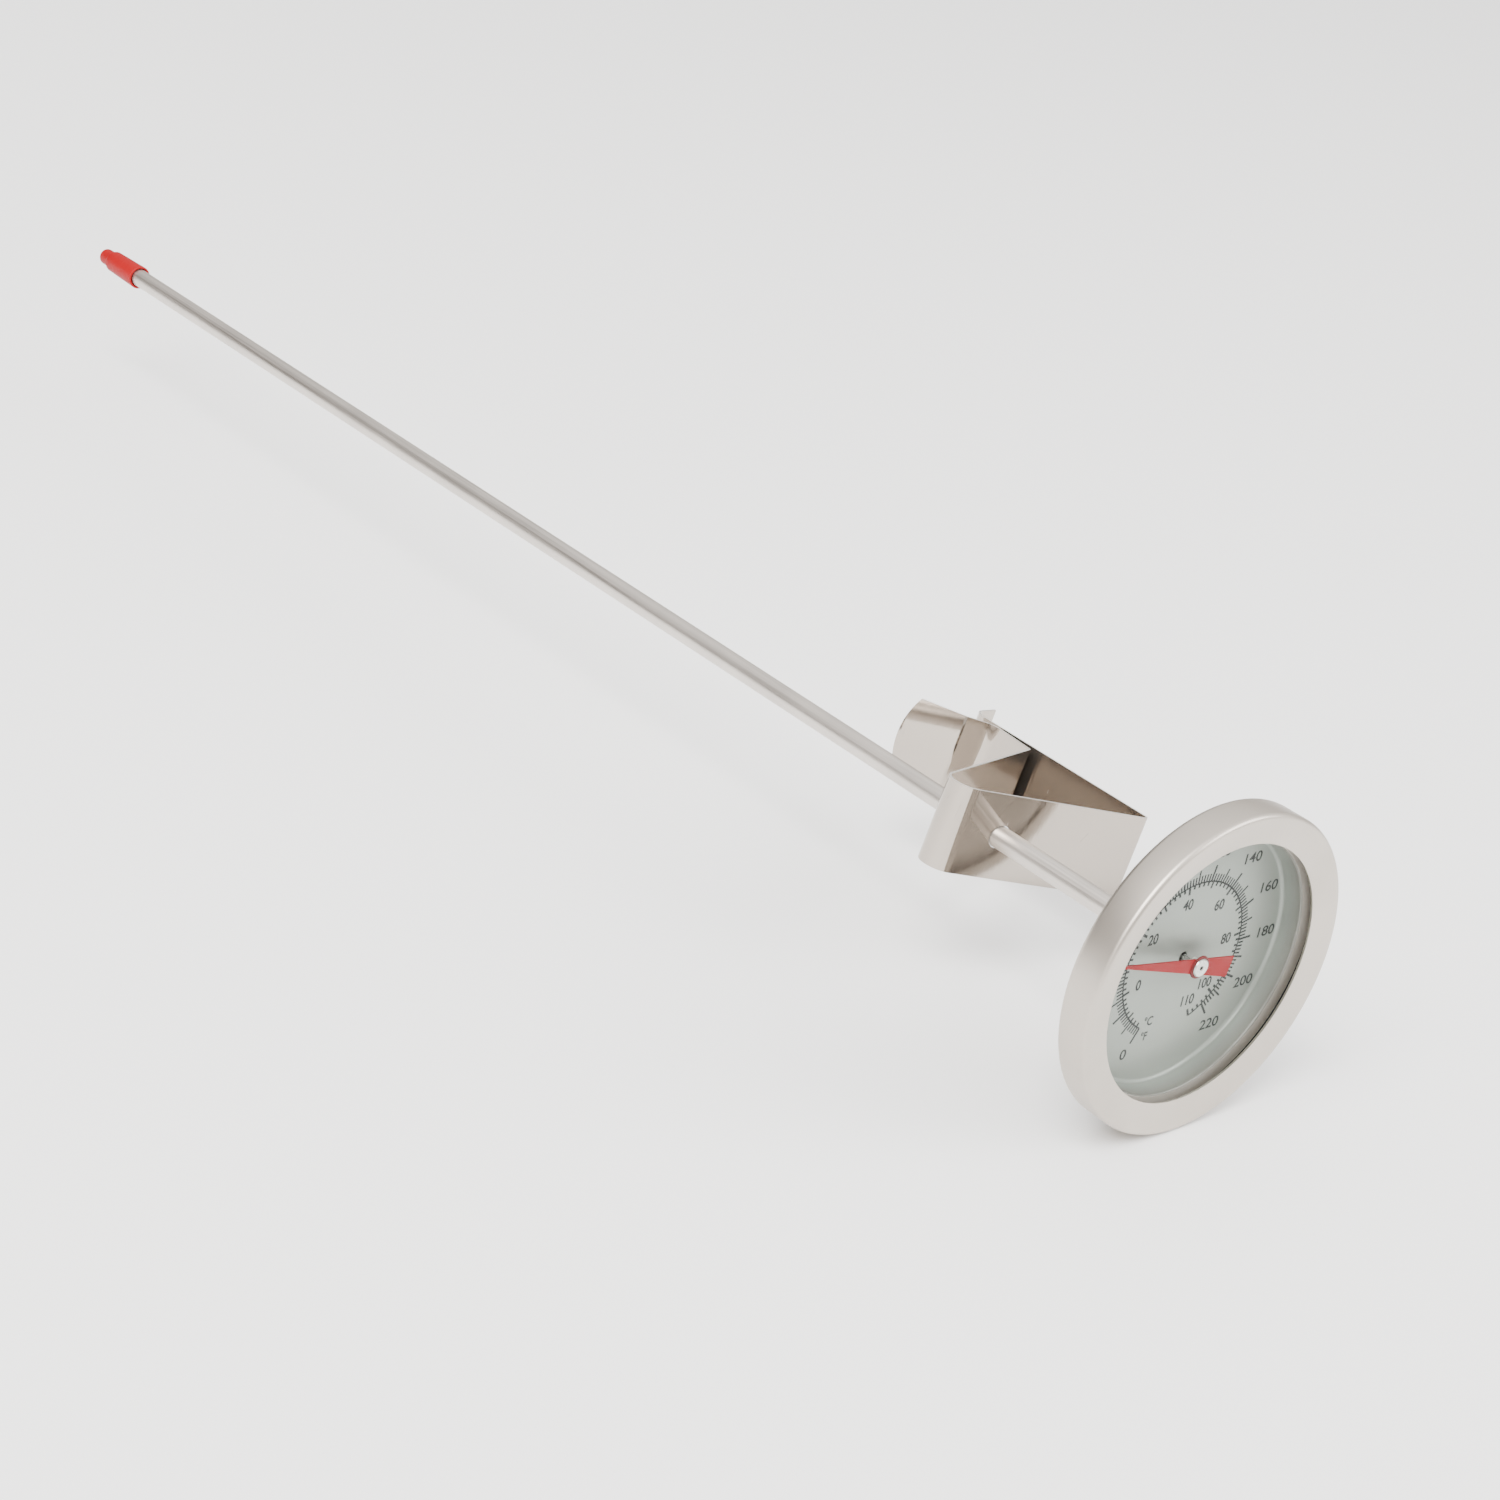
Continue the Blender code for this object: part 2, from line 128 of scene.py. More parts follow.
def surface(name, colour, roughness, metallic=0.0, stretch=(900, 900, 900), rings=False, grain=0.05,
            bump=0.05, tone=0.06, blotch=60.0, specular=0.5, streak=0.0):
    """A material with a grain in its roughness and bump, broad and faint changes of tone, and streaks.

    stretch is the grain's scale along each coordinate of place(), grain how far the roughness varies, tone how
    far the colour varies over patches of the scale blotch, and streak how far the grain darkens the colour.
    """
    made, tree, shader = principled(name, colour, roughness, metallic)
    shader.inputs["Specular IOR Level"].default_value = specular
    coords, vector = place(tree, stretch, rings)
    noise = tree.nodes.new("ShaderNodeTexNoise")
    noise.inputs["Scale"].default_value = 1.0
    noise.inputs["Detail"].default_value = GRAIN_DETAIL
    tree.links.new(vector, noise.inputs["Vector"])
    tree.links.new(ramp(tree, noise.outputs["Fac"], roughness - grain, roughness + grain),
                   shader.inputs["Roughness"])
    raised = tree.nodes.new("ShaderNodeBump")
    raised.inputs["Strength"].default_value = bump
    raised.inputs["Distance"].default_value = GRAIN_DEPTH_M
    tree.links.new(noise.outputs["Fac"], raised.inputs["Height"])
    tree.links.new(raised.outputs[0], shader.inputs["Normal"])
    cloud = tree.nodes.new("ShaderNodeTexNoise")
    cloud.inputs["Scale"].default_value = blotch
    cloud.inputs["Detail"].default_value = BLOTCH_DETAIL
    tree.links.new(coords.outputs["Object"], cloud.inputs["Vector"])
    shades = tree.nodes.new("ShaderNodeMix")
    shades.data_type = "RGBA"
    shades.inputs[MIX_A].default_value = (*[c * (1 - tone) for c in colour], 1)
    shades.inputs[MIX_B].default_value = (*[min(1, c * (1 + tone)) for c in colour], 1)
    tree.links.new(ramp(tree, cloud.outputs["Fac"], 0, 1), shades.inputs[MIX_FACTOR])
    lines = tree.nodes.new("ShaderNodeMix")
    lines.data_type = "RGBA"
    lines.blend_type = "MULTIPLY"
    lines.inputs[MIX_FACTOR].default_value = 1.0
    tree.links.new(shades.outputs[MIX_COLOUR], lines.inputs[MIX_A])
    tree.links.new(ramp(tree, noise.outputs["Fac"], 1 - streak, 1), lines.inputs[MIX_B])
    tree.links.new(lines.outputs[MIX_COLOUR], shader.inputs["Base Color"])
    return made


def shade_along_y(made, start, end, colour):
    """Paints shade and light into the base colour: fades it to another colour between two places along Y."""
    tree = made.node_tree
    base = tree.nodes["Principled BSDF"].inputs["Base Color"]
    coords = tree.nodes.new("ShaderNodeTexCoord")
    split = tree.nodes.new("ShaderNodeSeparateXYZ")
    tree.links.new(coords.outputs["Object"], split.inputs[0])
    fade = tree.nodes.new("ShaderNodeMix")
    fade.data_type = "RGBA"
    fade.inputs[MIX_B].default_value = (*colour, 1)
    tree.links.new(ramp(tree, split.outputs["Y"], 0, 1, start * MM, end * MM), fade.inputs[MIX_FACTOR])
    tree.links.new(base.links[0].from_socket, fade.inputs[MIX_A])
    tree.links.new(fade.outputs[MIX_COLOUR], base)


SCRATCH_WIDTH = 0.02
SCRATCH_ROUGHNESS = 0.3
PATCH_SCALE = 140.0
PATCH_START = 0.62
PATCH_END = 0.66


def add_scratches(made, scale, turn):
    """A few thin, rougher scratches across the sheet, on the edges of stretched cells and in patches only."""
    tree = made.node_tree
    shader = tree.nodes["Principled BSDF"]
    coords = tree.nodes.new("ShaderNodeTexCoord")
    mapping = tree.nodes.new("ShaderNodeMapping")
    mapping.inputs["Rotation"].default_value = turn
    mapping.inputs["Scale"].default_value = scale
    tree.links.new(coords.outputs["Object"], mapping.inputs["Vector"])
    cells = tree.nodes.new("ShaderNodeTexVoronoi")
    cells.feature = "DISTANCE_TO_EDGE"
    cells.inputs["Scale"].default_value = 1.0
    tree.links.new(mapping.outputs[0], cells.inputs["Vector"])
    patches = tree.nodes.new("ShaderNodeTexNoise")
    patches.inputs["Scale"].default_value = PATCH_SCALE
    tree.links.new(coords.outputs["Object"], patches.inputs["Vector"])
    mask = tree.nodes.new("ShaderNodeMath")
    mask.operation = "MULTIPLY"
    tree.links.new(ramp(tree, cells.outputs["Distance"], 1, 0, 0.0, SCRATCH_WIDTH), mask.inputs[0])
    tree.links.new(ramp(tree, patches.outputs["Fac"], 0, 1, PATCH_START, PATCH_END), mask.inputs[1])
    total = tree.nodes.new("ShaderNodeMath")
    total.operation = "MULTIPLY_ADD"
    total.inputs[1].default_value = SCRATCH_ROUGHNESS
    tree.links.new(mask.outputs[0], total.inputs[0])
    tree.links.new(shader.inputs["Roughness"].links[0].from_socket, total.inputs[2])
    tree.links.new(total.outputs[0], shader.inputs["Roughness"])


LENS_TINT = (0.985, 0.992, 0.988)
HAZE_SCALE = (60, 60, 60)
HAZE_CLEAR = 0.03
HAZE_DULL = 0.09
GLANCE_START = 0.52
SHINE_FACING = 0.004
SHINE_GLANCING = 0.22


def clear_lens():
    """A thin clear plate that doesn't bend light, with a faint shine that grows at glancing angles."""
    made = bpy.data.materials.new("clear_lens_look")
    made.use_nodes = True
    tree = made.node_tree
    tree.nodes.remove(tree.nodes["Principled BSDF"])
    clear = tree.nodes.new("ShaderNodeBsdfTransparent")
    clear.inputs["Color"].default_value = (*LENS_TINT, 1)
    gloss = tree.nodes.new("ShaderNodeBsdfGlossy")
    vector = place(tree, HAZE_SCALE, False)[1]
    haze = tree.nodes.new("ShaderNodeTexNoise")
    haze.inputs["Scale"].default_value = 1.0
    tree.links.new(vector, haze.inputs["Vector"])
    tree.links.new(ramp(tree, haze.outputs["Fac"], HAZE_CLEAR, HAZE_DULL), gloss.inputs["Roughness"])
    facing = tree.nodes.new("ShaderNodeLayerWeight")
    facing.inputs["Blend"].default_value = 0.5
    mixed = tree.nodes.new("ShaderNodeMixShader")
    shine = ramp(tree, facing.outputs["Facing"], SHINE_FACING, SHINE_GLANCING, GLANCE_START, 1.0)
    tree.links.new(shine, mixed.inputs[0])
    tree.links.new(clear.outputs[0], mixed.inputs[1])
    tree.links.new(gloss.outputs[0], mixed.inputs[2])
    tree.links.new(mixed.outputs[0], tree.nodes["Material Output"].inputs["Surface"])
    return made


SATIN = surface(
    "satin_steel_look", (0.535, 0.487, 0.432), 0.40, metallic=1.0,
    stretch=(6500, 6500, 1), rings=True, grain=0.06, bump=0.06, tone=0.06, blotch=70, streak=0.04)
# painted shade: the case cup's steel is coloured darker and browner than the bezel's, for the shade on the
# head's unlit back
SHADED_CASE = surface(
    "case_steel_painted_shade_look", (0.36, 0.325, 0.29), 0.24, metallic=1.0,
    stretch=(2600, 2600, 1), rings=True, grain=0.06, bump=0.12, tone=0.05, streak=0.08)
STEM = surface(
    "stem_steel_look", (0.67, 0.62, 0.57), 0.42, metallic=1.0,
    stretch=(5200, 26, 5200), grain=0.08, bump=0.18, tone=0.06, blotch=90, streak=0.12)
CLIP = surface(
    "spring_steel_look", (0.45, 0.40, 0.35), 0.07, metallic=0.95,
    stretch=(4200, 160, 700), grain=0.03, bump=0.05, tone=0.06, blotch=45, streak=0.04)
add_scratches(CLIP, (260, 900, 90), (0.5, 0.0, 0.4))
# the cut edges' light colour is partly the bare cut steel and partly a painted highlight along the clip's
# outline
CUT_EDGE_GLINT = surface(
    "cut_edge_highlight_look", (0.86, 0.835, 0.80), 0.38, metallic=1.0,
    stretch=(3000, 3000, 3000), grain=0.08, bump=0.1, tone=0.06, blotch=90)
# the holes' walls are coloured dark: partly rough punched steel, partly painted shade inside the holes
SHADED_PUNCH = surface(
    "punched_hole_painted_shade_look", (0.20, 0.18, 0.16), 0.6, metallic=1.0,
    stretch=(3000, 3000, 3000), grain=0.08, bump=0.2, tone=0.1, blotch=90)
RUBBER = surface(
    "black_rubber_look", (0.010, 0.010, 0.010), 0.62,
    stretch=(1800, 1800, 1800), grain=0.08, bump=0.25, tone=0.2, specular=0.3)
DIAL = surface(
    "dial_enamel_look", (0.285, 0.305, 0.278), 0.36, metallic=0.3,
    stretch=(2400, 2400, 2400), grain=0.05, bump=0.06, tone=0.03, blotch=50, specular=0.4)
# painted shade: the pan's wall darkens towards the front, where it lies under the bezel's lip
shade_along_y(DIAL, 3.8, 1.3, (0.185, 0.180, 0.160))
# painted reflection: the front face of the pan's flange is light and warm, for the bezel lip's steel underside
# mirrored in it
shade_along_y(DIAL, 1.22, 1.21, (0.52, 0.475, 0.425))
FIBRE = surface("grey_fibre_look", (0.16, 0.16, 0.15), 0.8, grain=0.08, bump=0.4, tone=0.15)
BIMETAL = surface(
    "bimetal_look", (0.40, 0.33, 0.25), 0.36, metallic=1.0,
    stretch=(3000, 300, 3000), grain=0.08, bump=0.15, tone=0.08)
BRASS = surface(
    "bush_brass_look", (0.55, 0.38, 0.14), 0.3, metallic=1.0,
    stretch=(3200, 3200, 1), rings=True, grain=0.08, bump=0.15, tone=0.06)
SPINDLE = surface(
    "spindle_steel_look", (0.42, 0.41, 0.40), 0.28, metallic=1.0,
    stretch=(4000, 60, 4000), grain=0.06, bump=0.15, tone=0.06)
RED = surface(
    "pointer_red_look", (0.25, 0.006, 0.009), 0.48,
    stretch=(1500, 1500, 1500), grain=0.06, bump=0.1, tone=0.05, blotch=120, specular=0.2)
# painted shade: the boss's red is darker than the blade's, for the shade it lies in round the hub
SHADED_BOSS = surface(
    "pointer_boss_painted_shade_look", (0.13, 0.010, 0.010), 0.5,
    stretch=(1500, 1500, 1500), grain=0.06, bump=0.1, tone=0.05, blotch=120, specular=0.3)
HUB = surface(
    "hub_metal_look", (0.68, 0.665, 0.64), 0.3, metallic=0.9,
    stretch=(3200, 3200, 1), rings=True, grain=0.08, bump=0.12, tone=0.04)
SILICONE = surface(
    "cap_red_look", (0.30, 0.002, 0.004), 0.5,
    stretch=(1600, 1600, 1600), grain=0.08, bump=0.16, tone=0.06, blotch=180, specular=0.2)
PRINT = surface(
    "dial_print_look", (0.034, 0.036, 0.037), 0.5,
    stretch=(2200, 2200, 2200), grain=0.08, bump=0.05, tone=0.2, specular=0.2)
LENS = clear_lens()


# ---------------------------------------------------------------- shape tools

MERGE_DISTANCE_M = 0.0000005
ON_AXIS = 0.0001
SHARP_ANGLE = math.radians(32)
MITRE_LIMIT = 0.3
HEAD_SIDES = 256
CASE_SIDES = 192
DISC_SIDES = 160
STEM_SIDES = 96
SMALL_SIDES = 64


def rounded(corners, steps=8):
    """Points of an outline whose corners (x, y, radius) are rounded where the radius isn't 0."""
    points = []
    for index, (x, y, radius) in enumerate(corners):
        here = Vector((x, y))
        if radius == 0:
            points.append(here)
            continue
        before = (Vector(corners[index - 1][:2]) - here).normalized()
        after = (Vector(corners[(index + 1) % len(corners)][:2]) - here).normalized()
        half = before.angle(after) / 2
        centre = here + (before + after).normalized() * (radius / math.sin(half))
        start = here + before * (radius / math.tan(half)) - centre
        sweep = start.angle_signed(here + after * (radius / math.tan(half)) - centre)
        for step in range(steps + 1):
            arm = start.copy()
            arm.rotate(Matrix.Rotation(-sweep * step / steps, 2))
            points.append(centre + arm)
    return points


def offset_line(points, distance):
    """The open outline moved sideways by distance, to its left."""
    moved = []
    for index, point in enumerate(points):
        a = points[max(index - 1, 0)]
        b = points[min(index + 1, len(points) - 1)]
        into = (point - a).normalized() if index else (b - point).normalized()
        out = (b - point).normalized() if index < len(points) - 1 else into
        left = Vector((-into.y - out.y, into.x + out.x)).normalized()
        stretch = max(MITRE_LIMIT, left.dot(Vector((-into.y, into.x))))
        moved.append(point + left * distance / stretch)
    return moved


def spot(radius, angle, y):
    """A vertex place in metres, at an angle clockwise from 12 o'clock as the dial is read."""
    return (radius * MM * math.sin(angle), y * MM, radius * MM * math.cos(angle))


def add_object(name, mesh):
    made = bpy.data.objects.new(name, mesh)
    bpy.context.scene.collection.objects.link(made)
    made.location = BASE
    return made


def finish_mesh(name, work, look):
    bmesh.ops.remove_doubles(work, verts=work.verts, dist=MERGE_DISTANCE_M)
    bmesh.ops.recalc_face_normals(work, faces=work.faces)
    mesh = bpy.data.meshes.new(name)
    work.to_mesh(mesh)
    work.free()
    mesh.materials.append(look)
    for face in mesh.polygons:
        face.use_smooth = True
    mesh.set_sharp_from_angle(angle=SHARP_ANGLE)
    return add_object(name, mesh)


def mount(made, body, slot, *nodes):
    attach(made, body)
    if nodes:
        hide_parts(*nodes)


def lathe(name, outline, look, sides=DISC_SIDES):
    """A turned solid from a closed outline of points (radius, y)."""
    work = bmesh.new()
    rings = []
    for radius, y in [tuple(point) for point in outline]:
        if radius < ON_AXIS:
            rings.append([work.verts.new((0, y * MM, 0))])
            continue
        ring = []
        for step in range(sides):
            ring.append(work.verts.new(spot(radius, 2 * math.pi * step / sides, y)))
        rings.append(ring)
    for index, ring in enumerate(rings):
        after = rings[(index + 1) % len(rings)]
        if len(ring) == 1 and len(after) == 1:
            continue
        for step in range(sides):
            follow = (step + 1) % sides
            corners = [ring[step % len(ring)], ring[follow % len(ring)]]
            corners += [after[follow % len(after)], after[step % len(after)]]
            unique = list(dict.fromkeys(corners))
            work.faces.new(unique)
    return finish_mesh(name, work, look)


def spun_sheet(name, corners, thickness, look, sides, steps=8):
    """A turned sheet that has the rounded outline on its outer or rear side."""
    line = rounded(corners, steps)
    inner = offset_line(line, -thickness)
    return lathe(name, line + inner[::-1], look, sides)


def washer(name, inner, outer, front, rear, edge, look):
    """A flat ring with its four corners rounded by edge."""
    return lathe(name, rounded([
        (inner, front, edge),
        (outer, front, edge),
        (outer, rear, edge),
        (inner, rear, edge),
    ]), look)


# ---------------------------------------------------------------- head

BEZEL_SHEET = 0.4
BEZEL_HEM = 2.2
BEZEL_REAR_ROUND = 0.95
BEZEL_FRONT_ROUND = 0.75
BEZEL_CREST = 1.1
BEZEL_DISH = 0.9
LENS_RADIUS = 24.0
LENS_ROUND = 0.12
GASKET_INNER = 23.1
GASKET_OUTER = 24.3
GASKET_FRONT = 1.2
GASKET_REAR = 2.8
GASKET_ROUND = 0.3
PAN_SHEET = 0.35
PAN_HOLE = 0.8
PAN_ROUND = 1.0
PAN_TOP_ROUND = 0.02
PAN_FLANGE = 22.8
PAN_FLANGE_REAR = 1.55
SEAT_INNER = 15.0
SEAT_OUTER = 18.6
SEAT_FRONT = 5.5
SEAT_REAR = 6.7
SEAT_ROUND = 0.2
CASE_SHEET = 0.4
CASE_HOLE = 3.5
CASE_RADIUS = 22.0
CASE_ROUND = 3.6
CASE_FLANGE = 24.3
CASE_FLANGE_Y = 3.5

mount(spun_sheet("bezel_ring", [
    (HEAD_RADIUS - BEZEL_HEM, BEZEL_REAR, 0),
    (HEAD_RADIUS, BEZEL_REAR, BEZEL_REAR_ROUND),
    (HEAD_RADIUS, BEZEL_FRONT, BEZEL_FRONT_ROUND),
    (HEAD_RADIUS - BEZEL_CREST, BEZEL_FRONT, 0),
    (WINDOW_RADIUS, BEZEL_FRONT + BEZEL_DISH, 0),
], BEZEL_SHEET, SATIN, HEAD_SIDES), ROOT, "satin_steel", "bezel")
mount(lathe("lens_disc", rounded([
    (0, 0, 0),
    (LENS_RADIUS, 0, LENS_ROUND),
    (LENS_RADIUS, LENS_REAR, LENS_ROUND),
    (0, LENS_REAR, 0),
]), LENS), ROOT, "clear_lens", "lens")
mount(washer("gasket_ring", GASKET_INNER, GASKET_OUTER, GASKET_FRONT, GASKET_REAR, GASKET_ROUND, RUBBER),
      ROOT, "black_rubber", "lens_gasket")
mount(spun_sheet("dial_pan", [
    (PAN_HOLE, DIAL_Y + PAN_SHEET, 0),
    (DIAL_RADIUS, DIAL_Y + PAN_SHEET, PAN_ROUND),
    (DIAL_RADIUS, PAN_FLANGE_REAR, PAN_TOP_ROUND),
    (PAN_FLANGE, PAN_FLANGE_REAR, 0),
], PAN_SHEET, DIAL, HEAD_SIDES, 12), ROOT, "dial_enamel", "dial_plate")
mount(washer("seat_ring", SEAT_INNER, SEAT_OUTER, SEAT_FRONT, SEAT_REAR, SEAT_ROUND, FIBRE),
      ROOT, "grey_fibre", "dial_seat")
mount(spun_sheet("case_cup", [
    (CASE_HOLE, CASE_BACK, 0),
    (CASE_RADIUS, CASE_BACK, CASE_ROUND),
    (CASE_RADIUS, CASE_FLANGE_Y, 0),
    (CASE_FLANGE, CASE_FLANGE_Y, 0),
], CASE_SHEET, SHADED_CASE, CASE_SIDES, 12), ROOT, "case_steel", "case_back")


# ---------------------------------------------------------------- dial print

DEGREES_PER_FAHRENHEIT = 1.338
ZERO_FAHRENHEIT = -151.0
LAST_FAHRENHEIT = 220
FIRST_CELSIUS = -16
LAST_CELSIUS = 110
PRINT_THICK = 0.01
PRINT_Y = DIAL_Y - 0.012
ARC_RADIUS = 11.88
ARC_HALF_WIDTH = 0.13
ARC_STEPS = 230

TICK_LONG = 14.42
TICK_MIDDLE = TICK_LONG - 0.35
TICK_SHORT = 13.1
TICK_LONG_WIDTH = 0.38
TICK_MIDDLE_WIDTH = 0.31
TICK_SHORT_WIDTH = 0.29
CELSIUS_LONG = 10.6
CELSIUS_MIDDLE = CELSIUS_LONG + 0.15
CELSIUS_SHORT = 11.2
CELSIUS_LONG_WIDTH = 0.42
CELSIUS_MIDDLE_WIDTH = 0.36
CELSIUS_SHORT_WIDTH = 0.38

NUMERAL_HEIGHT = 1.72
FAHRENHEIT_NUMERALS = 16.1
FAHRENHEIT_SPREAD = 1.55
CELSIUS_NUMERALS = 8.85
CELSIUS_PRINTED = (0, 20, 40, 60, 80, 100, 110)
# (name, words, radius, angle in degrees, height)
UNIT_MARKS = (("unit_c", "°C", 10.56, -157.2, 1.5), ("unit_f", "°F", 12.93, -160.5, 1.4))
FONT_SIZE_PER_HEIGHT = 1.38
LETTER_DEPTH = 0.006
LETTER_RESOLUTION = 6


def to_fahrenheit(celsius):
    return celsius * 1.8 + 32


def dial_angle(fahrenheit):
    return math.radians(ZERO_FAHRENHEIT + DEGREES_PER_FAHRENHEIT * fahrenheit)


def bar(work, angle, inner, outer, width):
    """A tick from one radius to another."""
    half = width / 2
    corners = []
    for radius, side in ((inner, -1), (outer, -1), (outer, 1), (inner, 1)):
        sideways = Vector((math.cos(angle), 0, -math.sin(angle))) * side * half * MM
        corners.append(Vector(spot(radius, angle, PRINT_Y)) + sideways)
    top = [work.verts.new(corner) for corner in corners]
    low = [work.verts.new(corner + Vector((0, PRINT_THICK * MM, 0))) for corner in corners]
    work.faces.new(top)
    work.faces.new(low[::-1])
    for index in range(4):
        follow = (index + 1) % 4
        work.faces.new((top[index], low[index], low[follow], top[follow]))


def arc_line(work):
    """The line between the two scales, which ends with the Celsius one."""
    first = dial_angle(0)
    last = dial_angle(to_fahrenheit(LAST_CELSIUS))
    for step in range(ARC_STEPS):
        a = first + (last - first) * step / ARC_STEPS
        b = first + (last - first) * (step + 1) / ARC_STEPS
        ring = []
        for y in (PRINT_Y, PRINT_Y + PRINT_THICK):
            ring.append([work.verts.new(spot(ARC_RADIUS + side * ARC_HALF_WIDTH, angle, y))
                         for side, angle in ((-1, a), (1, a), (1, b), (-1, b))])
        work.faces.new(ring[0])
        work.faces.new(ring[1][::-1])
        work.faces.new((ring[0][0], ring[1][0], ring[1][3], ring[0][3]))
        work.faces.new((ring[0][1], ring[1][1], ring[1][2], ring[0][2]))


def scale_marks():
    """Fahrenheit ticks outside the arc and Celsius ticks inside it, one every 2 degrees."""
    work = bmesh.new()
    for fahrenheit in range(0, LAST_FAHRENHEIT + 1, 2):
        angle = dial_angle(fahrenheit)
        if fahrenheit % 20 == 0:
            bar(work, angle, ARC_RADIUS, TICK_LONG, TICK_LONG_WIDTH)
        elif fahrenheit % 10 == 0:
            bar(work, angle, ARC_RADIUS, TICK_MIDDLE, TICK_MIDDLE_WIDTH)
        else:
            bar(work, angle, ARC_RADIUS, TICK_SHORT, TICK_SHORT_WIDTH)
    for celsius in range(FIRST_CELSIUS, LAST_CELSIUS + 1, 2):
        angle = dial_angle(to_fahrenheit(celsius))
        if celsius % 20 == 0 or celsius == LAST_CELSIUS:
            bar(work, angle, CELSIUS_LONG, ARC_RADIUS, CELSIUS_LONG_WIDTH)
        elif celsius % 10 == 0:
            bar(work, angle, CELSIUS_MIDDLE, ARC_RADIUS, CELSIUS_MIDDLE_WIDTH)
        else:
            bar(work, angle, CELSIUS_SHORT, ARC_RADIUS, CELSIUS_SHORT_WIDTH)
    arc_line(work)
    mesh = bpy.data.meshes.new("dial_scale")
    bmesh.ops.recalc_face_normals(work, faces=work.faces)
    work.to_mesh(mesh)
    work.free()
    mesh.materials.append(PRINT)
    return add_object("dial_scale", mesh)


def lettering(name, words, radius, angle, height, wide, weight):
    """Words centred on a place of the dial, wide times as wide as the font and thickened by weight."""
    curve = bpy.data.curves.new(name, "FONT")
    curve.body = words
    curve.size = height * FONT_SIZE_PER_HEIGHT
    curve.align_x = "CENTER"
    curve.align_y = "CENTER"
    curve.offset = weight
    curve.extrude = LETTER_DEPTH
    curve.resolution_u = LETTER_RESOLUTION
    drawn = bpy.data.objects.new(name + "_drawn", curve)
    bpy.context.scene.collection.objects.link(drawn)
    bpy.context.view_layer.update()
    mesh = bpy.data.meshes.new_from_object(drawn.evaluated_get(bpy.context.evaluated_depsgraph_get()))
    bpy.data.objects.remove(drawn, do_unlink=True)
    x, y, z = spot(radius, angle, PRINT_Y)
    for vertex in mesh.vertices:
        across, up, out = vertex.co
        vertex.co = (x + across * wide * MM, y - out * MM, z + up * MM)
    mesh.flip_normals()
    mesh.materials.clear()
    mesh.materials.append(PRINT)
    return add_object(name, mesh)


mount(scale_marks(), ROOT, "dial_enamel")
for fahrenheit in range(0, LAST_FAHRENHEIT + 1, 20):
    words = str(fahrenheit)
    angle = dial_angle(fahrenheit)
    radius = FAHRENHEIT_NUMERALS + FAHRENHEIT_SPREAD * abs(math.sin(angle)) * len(words) / 3
    made = lettering("numeral_f_" + words, words, radius, angle, NUMERAL_HEIGHT, wide=1.16, weight=0.035)
    mount(made, ROOT, "dial_enamel")
for celsius in CELSIUS_PRINTED:
    words = str(celsius)
    angle = dial_angle(to_fahrenheit(celsius))
    radius = CELSIUS_NUMERALS
    made = lettering("numeral_c_" + words, words, radius, angle, NUMERAL_HEIGHT, wide=0.86, weight=0.055)
    mount(made, ROOT, "dial_enamel")
for name, words, radius, degrees, height in UNIT_MARKS:
    made = lettering(name, words, radius, math.radians(degrees), height, wide=0.85, weight=0.04)
    mount(made, ROOT, "dial_enamel")


# ---------------------------------------------------------------- stem

FERRULE_BORE = 2.05
FERRULE_RADIUS = 3.2
FERRULE_REAR = 11.4
COLLAR_RADIUS = 4.4
COLLAR_FRONT = 7.7
COLLAR_REAR = 8.6
PIPE_REAR = STEM_TIP - 0.8
PLUG_RADIUS = 1.15
PLUG_FRONT = STEM_TIP - 5
PLUG_HEAD = STEM_TIP - 0.5
TIP_ROUND = 0.3

mount(lathe("ferrule", rounded([
    (FERRULE_BORE, STEM_START, 0),
    (FERRULE_RADIUS, STEM_START, 0.1),
    (FERRULE_RADIUS, COLLAR_FRONT, 0),
    (COLLAR_RADIUS, COLLAR_FRONT, 0.1),
    (COLLAR_RADIUS, COLLAR_REAR, 0.3),
    (FERRULE_RADIUS, COLLAR_REAR, 0.15),
    (FERRULE_RADIUS, FERRULE_REAR, 0.6),
    (FERRULE_BORE, FERRULE_REAR, 0.1),
]), STEM, STEM_SIDES), ROOT, "stem_steel", "stem_ferrule")
mount(lathe("stem_pipe", rounded([
    (BORE, STEM_START, 0),
    (STEM_RADIUS, STEM_START, 0),
    (STEM_RADIUS, PIPE_REAR, 0),
    (BORE, PIPE_REAR, 0),
]), STEM, STEM_SIDES), ROOT, "stem_steel", "stem_tube")
mount(lathe("stem_end", rounded([
    (0, PLUG_FRONT, 0),
    (PLUG_RADIUS, PLUG_FRONT, 0),
    (PLUG_RADIUS, PLUG_HEAD, 0),
    (STEM_RADIUS, PLUG_HEAD, 0),
    (STEM_RADIUS, STEM_TIP, TIP_ROUND),
    (0, STEM_TIP, 0),
]), STEM, SMALL_SIDES), ROOT, "stem_steel", "stem_plug")


# ---------------------------------------------------------------- pointer

POINTER_ANGLE = -77.0
BLADE_TIP = 16.9
BLADE_TAIL = -7.3
BLADE_TIP_HALF = 0.2
BLADE_TAIL_HALF = 1.65
BLADE_THICK = 0.25
BLADE_HOLE = 1.25
BLADE_STEPS = 12
BOSS_BORE = 1.0
BOSS_RADIUS = 1.8
BOSS_FRONT = 1.56
HUB_PINHOLE = 0.35
HUB_PINHOLE_RIM = 0.5
HUB_FACE = 1.3
HUB_FLANGE = 1.42
HUB_TUBE = 0.95
HUB_BORE = 0.8
HUB_FRONT = 1.2
HUB_PINHOLE_FRONT = 1.26
HUB_FLANGE_REAR = 1.45
HUB_PINHOLE_REAR = 1.5
HUB_BORE_FRONT = 1.6
HUB_REAR = 3.15


